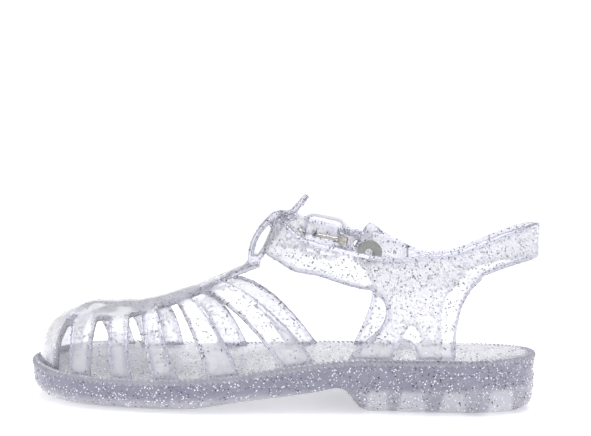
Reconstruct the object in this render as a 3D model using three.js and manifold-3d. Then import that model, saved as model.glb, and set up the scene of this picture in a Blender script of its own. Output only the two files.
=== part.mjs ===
// A child's jelly sandal for the right foot, moulded in clear PVC with glitter.
// Millimetres, Z up. The toe points to -X, the inner (medial) side faces -Y. The origin is on the
// ground under the heel.
import * as THREE from "three";
import { mergeVertices } from "three/addons/utils/BufferGeometryUtils.js";
import Module from "manifold-3d";

const wasm = await Module();
wasm.setup();

// Driving sizes
const LENGTH = 171; // outsole, toe to heel
const BALL_WIDTH = 71; // outsole at the ball of the foot
const INSTEP = 48; // top of the T-bar where it turns up, above the ground
const HEEL = 18; // rim of the sole at the heel, above the ground
const WALL = 1.8; // moulded straps and quarters
const BAND_WALL = 2.2; // ankle strap and heel strap
const RIM_WIDTH = 2.3; // knurled bead round the footbed, outside the straps
const FOOTING = 2.2; // how deep the straps root in the sole
const ORIGIN = 0.725; // where the row's origin lies along LENGTH, under the heel
const SLIVER = 0.08; // edges shorter than this are merged away
const SEAM = 0.15; // between the feet of the straps and the sole

// Sole sections: half widths as shares of BALL_WIDTH, heights as shares of HEEL
const SOLE = [
  { at: 0, medial: 0, lateral: 0, rimMedial: 0.7206, rimLateral: 0.7206, under: 0.1133 },
  { at: 0.02, medial: 0.155, lateral: 0.165, rimMedial: 0.6787, rimLateral: 0.762, under: 0.0567 },
  { at: 0.05, medial: 0.25, lateral: 0.27, rimMedial: 0.6301, rimLateral: 0.8038, under: 0.0189 },
  { at: 0.1, medial: 0.345, lateral: 0.385, rimMedial: 0.5892, rimLateral: 0.7968, under: 0 },
  { at: 0.17, medial: 0.405, lateral: 0.475, rimMedial: 0.5718, rimLateral: 0.7749, under: 0 },
  { at: 0.25, medial: 0.435, lateral: 0.535, rimMedial: 0.5699, rimLateral: 0.7455, under: 0 },
  { at: 0.33, medial: 0.445, lateral: 0.555, rimMedial: 0.5997, rimLateral: 0.7409, under: 0.0094 },
  { at: 0.42, medial: 0.42, lateral: 0.535, rimMedial: 0.6699, rimLateral: 0.7715, under: 0.1317 },
  { at: 0.5, medial: 0.38, lateral: 0.485, rimMedial: 0.795, rimLateral: 0.8329, under: 0.2167 },
  { at: 0.58, medial: 0.345, lateral: 0.43, rimMedial: 0.9087, rimLateral: 0.8998, under: 0.3206 },
  { at: 0.612, medial: 0.335, lateral: 0.412, rimMedial: 0.9408, rimLateral: 0.9148, under: 0.4061 },
  { at: 0.627, medial: 0.332, lateral: 0.405, rimMedial: 0.9513, rimLateral: 0.9202, under: 0.3778 },
  { at: 0.643, medial: 0.328, lateral: 0.397, rimMedial: 0.962, rimLateral: 0.9234, under: 0.1889 },
  { at: 0.657, medial: 0.326, lateral: 0.39, rimMedial: 0.9724, rimLateral: 0.9362, under: 0 },
  { at: 0.75, medial: 0.325, lateral: 0.355, rimMedial: 0.9911, rimLateral: 0.968, under: 0 },
  { at: 0.85, medial: 0.325, lateral: 0.33, rimMedial: 1.0111, rimLateral: 0.992, under: 0 },
  { at: 0.92, medial: 0.28, lateral: 0.28, rimMedial: 1.0346, rimLateral: 1.0148, under: 0 },
  { at: 0.97, medial: 0.19, lateral: 0.19, rimMedial: 1.054, rimLateral: 1.0408, under: 0 },
  { at: 1, medial: 0, lateral: 0, rimMedial: 1.06, rimLateral: 1.06, under: 0 },
];

// Side of the sole, from the tread up and over the bead to the footbed.
// inset is from the outline; up is above the tread, down is below the rim, in millimetres.
const SOLE_SIDE = [
  { inset: 5, up: 0 },
  { inset: 2.2, up: 0.7 },
  { inset: 0.7, up: 2.2 },
  { inset: 0.1, up: 4 },
  { inset: 0, down: 2.7 },
  { inset: 0.5, down: 2.3 },
  { inset: -0.2, down: 1.7 },
  { inset: 0, down: 0.6 },
  { inset: 0.8, down: 0 },
  { inset: 1.8, down: 0.3 },
  { inset: 2.3, down: 1.2 },
  { inset: 6, down: 1.5 },
];
const FOOTBED_DISH = 1.2;

// Hollow cells under the heel: middle as a share of LENGTH, the rest in millimetres
const HEEL_CELLS = [
  { at: 0.684, top: 3.4, foot: 5.4, high: 9 },
  { at: 0.749, top: 5.2, foot: 7.4, high: 9 },
  { at: 0.826, top: 5.2, foot: 7.4, high: 9 },
  { at: 0.92, top: 5.6, foot: 8, high: 8.4 },
];
// Grooves across the tread under the ball of the foot, as shares of LENGTH
const TREAD_GROOVES = [0.12, 0.165, 0.21, 0.255, 0.3, 0.345];

// Inner face of the woven spine and T-bar along the middle of the foot
const SPINE = [
  { at: 0.0877, high: 0.5844 },
  { at: 0.117, high: 0.6072 },
  { at: 0.152, high: 0.6135 },
  { at: 0.187, high: 0.6197 },
  { at: 0.228, high: 0.6393 },
  { at: 0.263, high: 0.6725 },
  { at: 0.298, high: 0.7107 },
  { at: 0.336, high: 0.7751 },
  { at: 0.357, high: 0.8144 },
  { at: 0.38, high: 0.8489 },
  { at: 0.418, high: 0.9073 },
  { at: 0.45, high: 0.9618 },
];

// Cross straps: feet on the rim and ends on the spine as shares of LENGTH, front and rear edges.
// round is the power of the arch over the foot and sweep that of its way forward; lift raises the
// end over the spine, in millimetres.
const MEDIAL_STRAPS = [
  { front: 0.097, rear: 0.142, topFront: 0.087, topRear: 0.14, round: 1.9, sweep: 0.8, lift: 0 },
  { front: 0.1855, rear: 0.2275, topFront: 0.155, topRear: 0.197, round: 1.88, sweep: 0.8, lift: 1.2 },
  { front: 0.267, rear: 0.3186, topFront: 0.2154, topRear: 0.2446, round: 2.09, sweep: 0.8, lift: 0 },
  { front: 0.3699, rear: 0.4319, topFront: 0.2783, topRear: 0.3018, round: 2.9, sweep: 0.88, lift: 0 },
  { front: 0.5061, rear: 0.5707, topFront: 0.322, topRear: 0.36, round: 2.6, sweep: 0.93, lift: 0 },
];
const LATERAL_STRAPS = [
  { front: 0.113, rear: 0.164, topFront: 0.087, topRear: 0.14, round: 1.9, sweep: 0.8, lift: 0 },
  { front: 0.178, rear: 0.214, topFront: 0.155, topRear: 0.197, round: 1.9, sweep: 0.8, lift: 1.2 },
  { front: 0.224, rear: 0.271, topFront: 0.2154, topRear: 0.2446, round: 2, sweep: 0.8, lift: 0 },
  { front: 0.356, rear: 0.418, topFront: 0.2783, topRear: 0.3136, round: 2.29, sweep: 0.87, lift: 0 },
  { front: 0.504, rear: 0.573, topFront: 0.336, topRear: 0.379, round: 2.27, sweep: 0.91, lift: 0 },
];
// Toe band: how far back it reaches on the rim and on the spine, its half width and drop there
const TOE_BAND = { rim: 0.0585, spine: 0.13, half: 5.4, drop: 0.5, round: 2.5 };

// Raised strip of the spine: half width and lift over the plate, in millimetres
const WEAVE = [
  { at: 0.08, half: 6.5, lift: 0.9 },
  { at: 0.12, half: 6.2, lift: 1.3 },
  { at: 0.145, half: 6.1, lift: 1 },
  { at: 0.162, half: 6, lift: 0.2 },
  { at: 0.19, half: 5.9, lift: 0.2 },
  { at: 0.21, half: 5.9, lift: 0.65 },
  { at: 0.232, half: 5.9, lift: 1.05 },
  { at: 0.252, half: 5.9, lift: 0.8 },
  { at: 0.266, half: 6, lift: 0.5 },
  { at: 0.29, half: 6.2, lift: 1.3 },
  { at: 0.312, half: 6.4, lift: 0.6 },
  { at: 0.34, half: 6.6, lift: 0.3 },
];
// Plate under the weave, with the webs between the straps: half width in millimetres
const PLATE = [
  { at: 0.09, half: 10 },
  { at: 0.16, half: 13 },
  { at: 0.2, half: 12.5 },
  { at: 0.24, half: 11.5 },
  { at: 0.29, half: 10 },
  { at: 0.345, half: 9.5 },
  { at: 0.372, half: 8 },
  { at: 0.4, half: 6.6 },
  { at: 0.455, half: 6.5 },
];

// Tongue at the end of the T-bar: inner face from its root to its tip
const TONGUE = [
  { at: 0.44, high: 0.9499, half: 6.5 },
  { at: 0.4555, high: 0.9959, half: 6.5 },
  { at: 0.477, high: 1.1172, half: 6.5 },
  { at: 0.5055, high: 1.2551, half: 6.5 },
  { at: 0.5315, high: 1.3718, half: 6.2 },
  { at: 0.5415, high: 1.4135, half: 5 },
  { at: 0.5475, high: 1.4389, half: 3 },
];
// Bridge in front of the ankle strap: outer face, from the T-bar up and over to the tongue
const BRIDGE = [
  { at: 0.43, high: 0.9343 },
  { at: 0.4275, high: 0.9892 },
  { at: 0.4285, high: 1.0542 },
  { at: 0.4375, high: 1.1598 },
  { at: 0.45, high: 1.2306 },
  { at: 0.4675, high: 1.3017 },
  { at: 0.4845, high: 1.3428 },
  { at: 0.4985, high: 1.3437 },
  { at: 0.512, high: 1.3095 },
  { at: 0.521, high: 1.3001 },
];
const BRIDGE_HALF = 6.5;
const BRIDGE_WALL = 2;

// Edges of the medial quarter by height as a share of INSTEP, along as a share of LENGTH
const MEDIAL_FRONT = [
  { high: 0.2864, at: 0.6211 },
  { high: 0.3607, at: 0.6281 },
  { high: 0.4241, at: 0.6444 },
  { high: 0.4898, at: 0.662 },
  { high: 0.5662, at: 0.6842 },
  { high: 0.6336, at: 0.6947 },
  { high: 0.7004, at: 0.6971 },
  { high: 0.7542, at: 0.6912 },
  { high: 0.795, at: 0.6772 },
  { high: 0.8316, at: 0.6632 },
  { high: 0.9191, at: 0.6632 },
];
const LATERAL_FRONT = [
  { high: 0.2869, at: 0.641 },
  { high: 0.3774, at: 0.649 },
  { high: 0.448, at: 0.659 },
  { high: 0.5588, at: 0.671 },
  { high: 0.6794, at: 0.681 },
  { high: 0.7595, at: 0.683 },
  { high: 0.8193, at: 0.679 },
  { high: 0.8789, at: 0.669 },
  { high: 0.9189, at: 0.669 },
];
const QUARTER_REAR = [
  { high: 0.2997, at: 0.8304 },
  { high: 0.3651, at: 0.8304 },
  { high: 0.5463, at: 0.8298 },
  { high: 0.6362, at: 0.8333 },
  { high: 0.7093, at: 0.8374 },
  { high: 0.7975, at: 0.848 },
  { high: 0.8735, at: 0.8637 },
  { high: 0.9205, at: 0.8836 },
  { high: 0.9513, at: 0.9082 },
];
// Small arched window at the foot of each quarter. lateral is how much further back it stands there
const WINDOW = { front: 0.712, rear: 0.758, foot: 0.33, apex: 0.5, lateral: 0.033 };

// Heel strap and ankle strap, as one band. It starts at the free end of the ankle strap on the
// lateral side, runs forward and through the bridge, back along the medial side, round the heel
// and ends as the buckle's tab. Inner face: x of LENGTH, y of BALL_WIDTH, edges of INSTEP.
const BAND = [
  { x: 0.7544, y: 0.3324, low: 0.97, high: 1.07 },
  { x: 0.7398, y: 0.3366, low: 0.93, high: 1.1364 },
  { x: 0.7135, y: 0.3408, low: 0.94, high: 1.1681 },
  { x: 0.6725, y: 0.3408, low: 0.965, high: 1.1989 },
  { x: 0.6316, y: 0.3239, low: 0.992, high: 1.2254 },
  { x: 0.5906, y: 0.2761, low: 1.022, high: 1.252 },
  { x: 0.5556, y: 0.2338, low: 1.047, high: 1.2811 },
  { x: 0.5234, y: 0.2056, low: 1.062, high: 1.306 },
  { x: 0.4936, y: 0.1634, low: 1.07, high: 1.3083 },
  { x: 0.4749, y: 0.107, low: 1.0822, high: 1.2905 },
  { x: 0.4673, y: 0.0507, low: 1.0734, high: 1.2817 },
  { x: 0.4661, y: 0, low: 1.067, high: 1.2754 },
  { x: 0.4673, y: -0.0507, low: 1.0525, high: 1.2734 },
  { x: 0.4749, y: -0.107, low: 1.0114, high: 1.2614 },
  { x: 0.4947, y: -0.1634, low: 0.9797, high: 1.2209 },
  { x: 0.5263, y: -0.2113, low: 0.9202, high: 1.1729 },
  { x: 0.5673, y: -0.2479, low: 0.9043, high: 1.1297 },
  { x: 0.6129, y: -0.2746, low: 0.8566, high: 1.0951 },
  { x: 0.655, y: -0.2901, low: 0.8228, high: 1.0644 },
  { x: 0.7018, y: -0.3, low: 0.8215, high: 1.0449 },
  { x: 0.7602, y: -0.3042, low: 0.8377, high: 1.0631 },
  { x: 0.8187, y: -0.2958, low: 0.8706, high: 1.0951 },
  { x: 0.8655, y: -0.2718, low: 0.9183, high: 1.156 },
  { x: 0.9064, y: -0.2296, low: 0.97, high: 1.2135 },
  { x: 0.946, y: -0.178, low: 1.0134, high: 1.2597 },
  { x: 0.973, y: -0.116, low: 1.0365, high: 1.2906 },
  { x: 0.987, y: -0.055, low: 1.0541, high: 1.2998 },
  { x: 0.991, y: 0, low: 1.0618, high: 1.3 },
  { x: 0.987, y: 0.055, low: 1.0541, high: 1.2979 },
  { x: 0.973, y: 0.116, low: 1.0365, high: 1.2866 },
  { x: 0.946, y: 0.178, low: 1.0134, high: 1.2427 },
  { x: 0.9064, y: 0.2296, low: 0.97, high: 1.1765 },
  { x: 0.8655, y: 0.2718, low: 0.9183, high: 1.1027 },
  { x: 0.8187, y: 0.2958, low: 0.8706, high: 1.0586 },
  { x: 0.7778, y: 0.3042, low: 0.8471, high: 1.0675 },
  { x: 0.7485, y: 0.3042, low: 0.8412, high: 1.1183 },
  { x: 0.7135, y: 0.3014, low: 0.8556, high: 1.1745 },
  { x: 0.6871, y: 0.2958, low: 0.8831, high: 1.2414 },
  { x: 0.6725, y: 0.2915, low: 0.9072, high: 1.2614 },
  { x: 0.6573, y: 0.2859, low: 0.9354, high: 1.1729 },
  { x: 0.6386, y: 0.2789, low: 0.9717, high: 1.0508 },
];
// How far the top edge of the band stands back from its low edge, at the bridge, in millimetres
const BAND_LEAN = 4.6;

// Buckle, in millimetres. Its bars lie across the strap at these rows of BAND.
const BAR = 2.1; // thickness of the frame's bars
const FRAME_ACROSS = 12.4; // clear opening across the strap
const REAR_BAR = { row: 4.55, off: -2.55 };
const FRONT_BAR = { row: 6.5, off: 3.6 };
const LUG = { row: 38.6, high: 0.45, inner: 1.35, outer: 2.25, from: 1.8, to: 4.5, arm: 8, thick: 1.6 };
const CURL = { inner: 1.25, outer: 2.15, half: 1.3 };
const FRAME_CORNER = 2.8;
const PIN = 1.5;
// Pin's way from the curl through the strap to the front bar: row of BAND and height over its inner face
const PIN_WAY = [
  { row: 4.8, off: -2.5 },
  { row: 5, off: -1.95 },
  { row: 5.25, off: -1.5 },
  { row: 5.6, off: -0.7 },
  { row: 5.88, off: 1.1 },
  { row: 6.12, off: 4 },
  { row: 6.34, off: 5.6 },
  { row: 6.62, off: 5.9 },
  { row: 6.9, off: 5.7 },
];
const STRAP_HOLES = { rows: [3.6, 4.35, 5.1, 6.95, 7.9], radius: 1.2 };
const RIVET = { row: 37.9, high: 0.35, radius: 4.7, cap: 3.9, hole: 1.7, tube: 2.4, plate: 0.6 };

// A row's column between the rows of its table, without overshoot
function between(table, key, column, value) {
  const last = table.length - 1;
  if (value <= table[0][key]) return table[0][column];
  if (value >= table[last][key]) return table[last][column];
  let i = 0;
  while (value > table[i + 1][key]) i += 1;
  const step = (k) => table[k + 1][key] - table[k][key];
  const rise = (k) => (table[k + 1][column] - table[k][column]) / step(k);
  const slope = (k) => {
    if (k === 0) return rise(0);
    if (k === last) return rise(last - 1);
    const a = rise(k - 1);
    const b = rise(k);
    return a * b <= 0 ? 0 : (2 * a * b) / (a + b);
  };
  const t = (value - table[i][key]) / step(i);
  const h = step(i);
  return (
    table[i][column] * (2 * t ** 3 - 3 * t ** 2 + 1) +
    table[i + 1][column] * (3 * t ** 2 - 2 * t ** 3) +
    slope(i) * h * (t ** 3 - 2 * t ** 2 + t) +
    slope(i + 1) * h * (t ** 3 - t ** 2)
  );
}

// Closed geometry as a solid, turned to face outwards
function solid(points, triangles) {
  const flat = new Float32Array(triangles.length * 9);
  triangles.forEach((tri, i) => tri.forEach((v, j) => flat.set(points[v].toArray(), i * 9 + j * 3)));
  const bare = new THREE.BufferGeometry();
  bare.setAttribute("position", new THREE.BufferAttribute(flat, 3));
  return fromGeometry(bare);
}

function fromGeometry(geometry) {
  const loose = geometry.index ? geometry.toNonIndexed() : geometry;
  const bare = new THREE.BufferGeometry().setAttribute("position", loose.getAttribute("position"));
  const merged = mergeVertices(bare, 1e-4);
  const index = merged.index.array;
  const keep = [];
  for (let i = 0; i < index.length; i += 3) {
    const [a, b, c] = [index[i], index[i + 1], index[i + 2]];
    if (a !== b && b !== c && c !== a) keep.push(a, b, c);
  }
  const make = (list) =>
    new wasm.Manifold(
      new wasm.Mesh({
        numProp: 3,
        vertProperties: merged.attributes.position.array,
        triVerts: new Uint32Array(list),
      }),
    );
  const made = make(keep);
  if (made.volume() > 0) return made;
  for (let i = 0; i < keep.length; i += 3) [keep[i + 1], keep[i + 2]] = [keep[i + 2], keep[i + 1]];
  return make(keep);
}

// A wall over a grid of points of its inner face, thickened away from the foot
function wall(grid, thick, heart) {
  const n = grid.length;
  const m = grid[0].length;
  const normal = (i, j) => {
    const u = grid[Math.min(i + 1, n - 1)][j].clone().sub(grid[Math.max(i - 1, 0)][j]);
    const v = grid[i][Math.min(j + 1, m - 1)].clone().sub(grid[i][Math.max(j - 1, 0)]);
    const w = u.cross(v).normalize();
    const out = grid[i][j].clone().sub(heart(grid[i][j]));
    return w.dot(out) < 0 ? w.negate() : w;
  };
  const points = [];
  for (let i = 0; i < n; i += 1) for (let j = 0; j < m; j += 1) points.push(grid[i][j].clone());
  for (let i = 0; i < n; i += 1)
    for (let j = 0; j < m; j += 1) points.push(grid[i][j].clone().addScaledVector(normal(i, j), thick));
  const at = (i, j, top) => top * n * m + i * m + j;
  const faces = [];
  const quad = (a, b, c, d) => faces.push([a, b, c], [a, c, d]);
  for (let i = 0; i < n - 1; i += 1)
    for (let j = 0; j < m - 1; j += 1) {
      quad(at(i, j, 0), at(i + 1, j, 0), at(i + 1, j + 1, 0), at(i, j + 1, 0));
      quad(at(i, j, 1), at(i, j + 1, 1), at(i + 1, j + 1, 1), at(i + 1, j, 1));
    }
  for (let i = 0; i < n - 1; i += 1) {
    quad(at(i, 0, 0), at(i, 0, 1), at(i + 1, 0, 1), at(i + 1, 0, 0));
    quad(at(i, m - 1, 0), at(i + 1, m - 1, 0), at(i + 1, m - 1, 1), at(i, m - 1, 1));
  }
  for (let j = 0; j < m - 1; j += 1) {
    quad(at(0, j, 0), at(0, j + 1, 0), at(0, j + 1, 1), at(0, j, 1));
    quad(at(n - 1, j, 0), at(n - 1, j, 1), at(n - 1, j + 1, 1), at(n - 1, j + 1, 0));
  }
  return solid(points, faces);
}

const union = (list) => list.reduce((a, b) => a.add(b));
const stationOf = (at) => Math.acos(1 - 2 * at) / Math.PI;
const atOf = (station) => (1 - Math.cos(Math.PI * Math.abs(station))) / 2;
const SECTIONS = SOLE.map((row) => ({ ...row, station: stationOf(row.at) }));

// Outline of the sole. station runs from 0 at the toe to 1 (lateral) or -1 (medial) at the heel
function outline(station) {
  let s = station;
  if (s > 1) s -= 2;
  if (s < -1) s += 2;
  const column = s < 0 ? "medial" : "lateral";
  const half = between(SECTIONS, "station", column, Math.abs(s)) * BALL_WIDTH;
  return new THREE.Vector2(atOf(s) * LENGTH, Math.sign(s) * half);
}

function insetPoint(station, inset) {
  const along = outline(station + 0.004).sub(outline(station - 0.004)).normalize();
  return outline(station).add(new THREE.Vector2(along.y, -along.x).multiplyScalar(inset));
}

const rimHigh = (at, side) => between(SOLE, "at", side < 0 ? "rimMedial" : "rimLateral", at) * HEEL;
const treadHigh = (at) => between(SOLE, "at", "under", at) * HEEL;
const spineHigh = (at) => between(SPINE, "at", "high", at) * INSTEP;

// Sole with its side, bead and footbed
function makeSole() {
  const count = 40;
  const shares = [];
  for (let i = 0; i <= count; i += 1) shares.push((1 - Math.cos((Math.PI * i) / count)) / 2);
  shares.push(0.612, 0.6195, 0.627, 0.635, 0.643, 0.65, 0.657, 0.664);
  shares.sort((a, b) => a - b);
  const stations = shares.filter((v, i) => i === 0 || v - shares[i - 1] > 0.003 || v > 0.998).map(stationOf);
  const last = stations.length - 1;
  const ring = [...stations, ...stations.slice(1, last).reverse().map((s) => -s)];
  const points = [];
  SOLE_SIDE.forEach((level) => {
    ring.forEach((s) => {
      const at = atOf(s);
      const edge = insetPoint(s, level.inset);
      const side = s === 0 || Math.abs(s) === 1 ? 1 : s;
      const high = level.up === undefined ? rimHigh(at, side) - level.down : treadHigh(at) + level.up;
      points.push(new THREE.Vector3(edge.x, edge.y, high));
    });
  });
  const around = ring.length;
  const faces = [];
  for (let k = 0; k < SOLE_SIDE.length - 1; k += 1)
    for (let i = 0; i < around; i += 1) {
      const j = (i + 1) % around;
      const [a, b, c, d] = [k * around + i, k * around + j, (k + 1) * around + j, (k + 1) * around + i];
      faces.push([a, c, b], [a, d, c]);
    }
  const cap = (level, dish, columns, turned) => {
    const base = level * around;
    const rows = [];
    for (let i = 1; i < last; i += 1) {
      const [a, b] = [base + i, base + around - i];
      const deep = dish * Math.min(1, points[a].distanceTo(points[b]) / (0.65 * BALL_WIDTH));
      const row = [a];
      for (let c = 1; c < columns; c += 1) {
        const t = c / columns;
        const p = points[a].clone().lerp(points[b], t);
        p.z -= deep * (1 - (2 * t - 1) ** 2);
        row.push(points.push(p) - 1);
      }
      row.push(b);
      rows.push(row);
    }
    const add = (a, b, c) => faces.push(turned ? [a, c, b] : [a, b, c]);
    for (let c = 0; c < columns; c += 1) {
      add(base, rows[0][c], rows[0][c + 1]);
      add(base + last, rows[rows.length - 1][c + 1], rows[rows.length - 1][c]);
      for (let i = 0; i < rows.length - 1; i += 1) {
        add(rows[i][c], rows[i + 1][c], rows[i + 1][c + 1]);
        add(rows[i][c], rows[i + 1][c + 1], rows[i][c + 1]);
      }
    }
  };
  cap(0, 0, 1, false);
  cap(SOLE_SIDE.length - 1, FOOTBED_DISH, 6, true);
  return solid(points, faces);
}

// A bar across the sole with the given section in the XZ plane, from y0 to y1
function crossBar(section, y0, y1) {
  const shape = new THREE.Shape(section.map(([x, z]) => new THREE.Vector2(x, z)));
  const bar = new THREE.ExtrudeGeometry(shape, { depth: y1 - y0, bevelEnabled: false });
  bar.rotateX(Math.PI / 2);
  bar.translate(0, y1, 0);
  return fromGeometry(bar);
}

function soleCuts() {
  const cuts = [];
  const edge = 6.2;
  const rib = 1.4;
  HEEL_CELLS.forEach((cell) => {
    const x = cell.at * LENGTH;
    const section = [
      [x - cell.foot / 2, -1],
      [x + cell.foot / 2, -1],
      [x + cell.top / 2, cell.high],
      [x - cell.top / 2, cell.high],
    ];
    const rear = Math.min(cell.at + cell.foot / 2 / LENGTH, 0.99);
    const inner = between(SOLE, "at", "medial", rear) * BALL_WIDTH - edge;
    const outer = between(SOLE, "at", "lateral", rear) * BALL_WIDTH - edge;
    cuts.push(crossBar(section, -inner, -rib), crossBar(section, rib, outer));
  });
  TREAD_GROOVES.forEach((at) => {
    const x = at * LENGTH;
    const section = [
      [x - 1.6, -1],
      [x + 1.6, -1],
      [x + 0.9, 1.5],
      [x - 0.9, 1.5],
    ];
    const inner = between(SOLE, "at", "medial", at) * BALL_WIDTH - 8;
    const outer = between(SOLE, "at", "lateral", at) * BALL_WIDTH - 8;
    cuts.push(crossBar(section, -inner, outer));
  });
  return cuts;
}

const heart = (p) => new THREE.Vector3(p.x, 0, HEEL * 0.7);
const heartOfToe = () => new THREE.Vector3(0.16 * LENGTH, 0, HEEL * 0.7);

// A point on the way from the rim to the spine: up the side and over in an arch
function arch(foot, top, share, round, sweep) {
  if (share < 0) return new THREE.Vector3(foot.x, foot.y, foot.z + share * FOOTING * 4);
  const angle = (share * Math.PI) / 2;
  const across = 1 - Math.cos(angle) ** (2 / round);
  const up = Math.sin(angle) ** (2 / round);
  const along = sweep === undefined ? across : sweep;
  return new THREE.Vector3(
    foot.x + (top.x - foot.x) * along,
    foot.y + (top.y - foot.y) * across,
    foot.z + (top.z - foot.z) * up,
  );
}

function footOf(station) {
  const p = insetPoint(station, RIM_WIDTH + WALL);
  return new THREE.Vector3(p.x, p.y, rimHigh(atOf(station), station) - 1);
}

// How far the arch falls at y from the middle line, for the plate and the weave
function fallAt(at, y) {
  const side = Math.sign(y) || 1;
  const half = between(SOLE, "at", side < 0 ? "medial" : "lateral", at) * BALL_WIDTH - RIM_WIDTH - WALL;
  const high = spineHigh(at) - rimHigh(at, side) + 1;
  const t = Math.min(Math.abs(y) / half, 0.98);
  return high * (1 - (1 - t ** 1.95) ** (1 / 1.95));
}

function makeStraps() {
  const parts = [];
  [-1, 1].forEach((side) => {
    (side < 0 ? MEDIAL_STRAPS : LATERAL_STRAPS).forEach((strap) => {
      const grid = [];
      const shares = [-0.25, 0, 0.06, 0.14, 0.24, 0.35, 0.46, 0.57, 0.68, 0.79, 0.9, 1];
      shares.forEach((share) => {
        const row = [];
        for (let j = 0; j <= 3; j += 1) {
          const t = j / 3;
          const at = strap.front + (strap.rear - strap.front) * t;
          const topAt = strap.topFront + (strap.topRear - strap.topFront) * t;
          const foot = footOf(side * stationOf(at));
          const top = new THREE.Vector3(topAt * LENGTH, 0, spineHigh(topAt));
          const p = arch(foot, top, share, strap.round, share ** strap.sweep);
          p.z += strap.lift * THREE.MathUtils.smoothstep(share, 0.6, 0.85);
          row.push(p);
        }
        grid.push(row);
      });
      parts.push(wall(grid, WALL, heart));
    });
  });
  return parts;
}

// Toe band: from the rim round the toe, back and up to the front of the spine
function makeToeBand() {
  const end = stationOf(TOE_BAND.rim);
  const grid = [];
  for (let i = 0; i <= 10; i += 1) {
    const share = i === 0 ? -0.25 : (i - 1) / 9;
    const row = [];
    for (let j = 0; j <= 12; j += 1) {
      const t = (j / 12) * 2 - 1;
      const foot = footOf(t * end);
      const high = spineHigh(TOE_BAND.spine) - TOE_BAND.drop;
      const top = new THREE.Vector3(TOE_BAND.spine * LENGTH, t * TOE_BAND.half, high - 0.15 * t ** 2);
      row.push(arch(foot, top, share, TOE_BAND.round));
    }
    grid.push(row);
  }
  return wall(grid, WALL, heartOfToe);
}

// A strip along the middle line between two shares of LENGTH
function spineStrip(table, from, to, steps, columns, thick, lift) {
  const grid = [];
  for (let i = 0; i <= steps; i += 1) {
    const at = from + ((to - from) * i) / steps;
    const half = between(table, "at", "half", at);
    const row = [];
    for (let j = 0; j <= columns; j += 1) {
      const y = half * ((2 * j) / columns - 1);
      row.push(new THREE.Vector3(at * LENGTH, y, spineHigh(at) - fallAt(at, y) + lift(at)));
    }
    grid.push(row);
  }
  return wall(grid, thick, heart);
}

// A ribbon across the middle line that follows a profile in the XZ plane
function profileStrip(rows, columns, thick, inward) {
  const grid = rows.map((r) => {
    const row = [];
    for (let j = 0; j <= columns; j += 1)
      row.push(new THREE.Vector3(r.at * LENGTH, r.half * ((2 * j) / columns - 1), r.high * INSTEP));
    return row;
  });
  return wall(grid, thick, inward);
}

function makeTongueAndBridge() {
  const behind = (p) => new THREE.Vector3(p.x + 8, p.y, p.z - 6);
  const tongue = profileStrip(TONGUE, 4, 2, behind);
  const curve = new THREE.CatmullRomCurve3(
    BRIDGE.map((r) => new THREE.Vector3(r.at, 0, r.high)),
    false,
    "centripetal",
  );
  const rows = curve.getPoints(22).map((p) => ({ at: p.x, high: p.z, half: BRIDGE_HALF }));
  const within = () => new THREE.Vector3(0.5 * LENGTH, 0, 1.12 * INSTEP);
  const away = (p) => p.clone().multiplyScalar(2).sub(new THREE.Vector3(within().x, p.y, within().z));
  const bridge = profileStrip(rows, 2, BRIDGE_WALL, away);
  return [tongue, bridge];
}

const bandPoint = (row) => new THREE.Vector3(row.x * LENGTH, row.y * BALL_WIDTH, 0);
const bandLean = (x) =>
  BAND_LEAN * THREE.MathUtils.smoothstep(0.56 * LENGTH - x, 0, 0.09 * LENGTH);

const edgeOf = (column) => {
  const points = BAND.map((r) => bandPoint(r).setZ(r[column] * INSTEP));
  return new THREE.CatmullRomCurve3(points, false, "centripetal");
};
const bandLow = edgeOf("low");
const bandHigh = edgeOf("high");

function makeBand() {
  const steps = (BAND.length - 1) * 2;
  const grid = [];
  for (let i = 0; i <= steps; i += 1) {
    const a = bandLow.getPoint(i / steps);
    const b = bandHigh.getPoint(i / steps);
    b.x += bandLean(a.x);
    const row = [];
    for (let j = 0; j <= 3; j += 1) row.push(a.clone().lerp(b, j / 3));
    grid.push(row);
  }
  return wall(grid, BAND_WALL, bandHeart);
}

function bandHeart(p) {
  const x = THREE.MathUtils.clamp(p.x, 0.6 * LENGTH, 0.86 * LENGTH);
  return new THREE.Vector3(x, 0, p.z);
}

// Half width of the band's inner face at a share of LENGTH, behind the strap's free part
function bandHalf(side, at) {
  const rows = BAND.filter((r) => (side < 0 ? r.y < 0 : r.y > 0) && r.x > 0.6 && !(side > 0 && r.y > 0.31));
  const table = rows.map((r) => ({ at: r.x, half: Math.abs(r.y) })).sort((a, b) => a.at - b.at);
  return between(table, "at", "half", at) * BALL_WIDTH;
}

// Half width of a quarter's inner face
function quarterHalf(side, at, z) {
  const foot = Math.abs(insetPoint(side * stationOf(at), RIM_WIDTH + WALL).y);
  const rim = rimHigh(at, side) - 1;
  const t = THREE.MathUtils.clamp((z - rim) / (0.84 * INSTEP - rim), 0, 1);
  return foot + (bandHalf(side, at) + 0.25 - foot) * (1 - (1 - t) ** 1.5);
}

// A patch of a quarter between two edges, row by row in height
function patch(side, heights, front, rear, columns) {
  const grid = heights.map((high) => {
    const row = [];
    for (let j = 0; j <= columns; j += 1) {
      const at = front(high) + (rear(high) - front(high)) * (j / columns);
      row.push(new THREE.Vector3(at * LENGTH, side * quarterHalf(side, at, high * INSTEP), high * INSTEP));
    }
    return row;
  });
  return wall(grid, WALL, heart);
}

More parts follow.
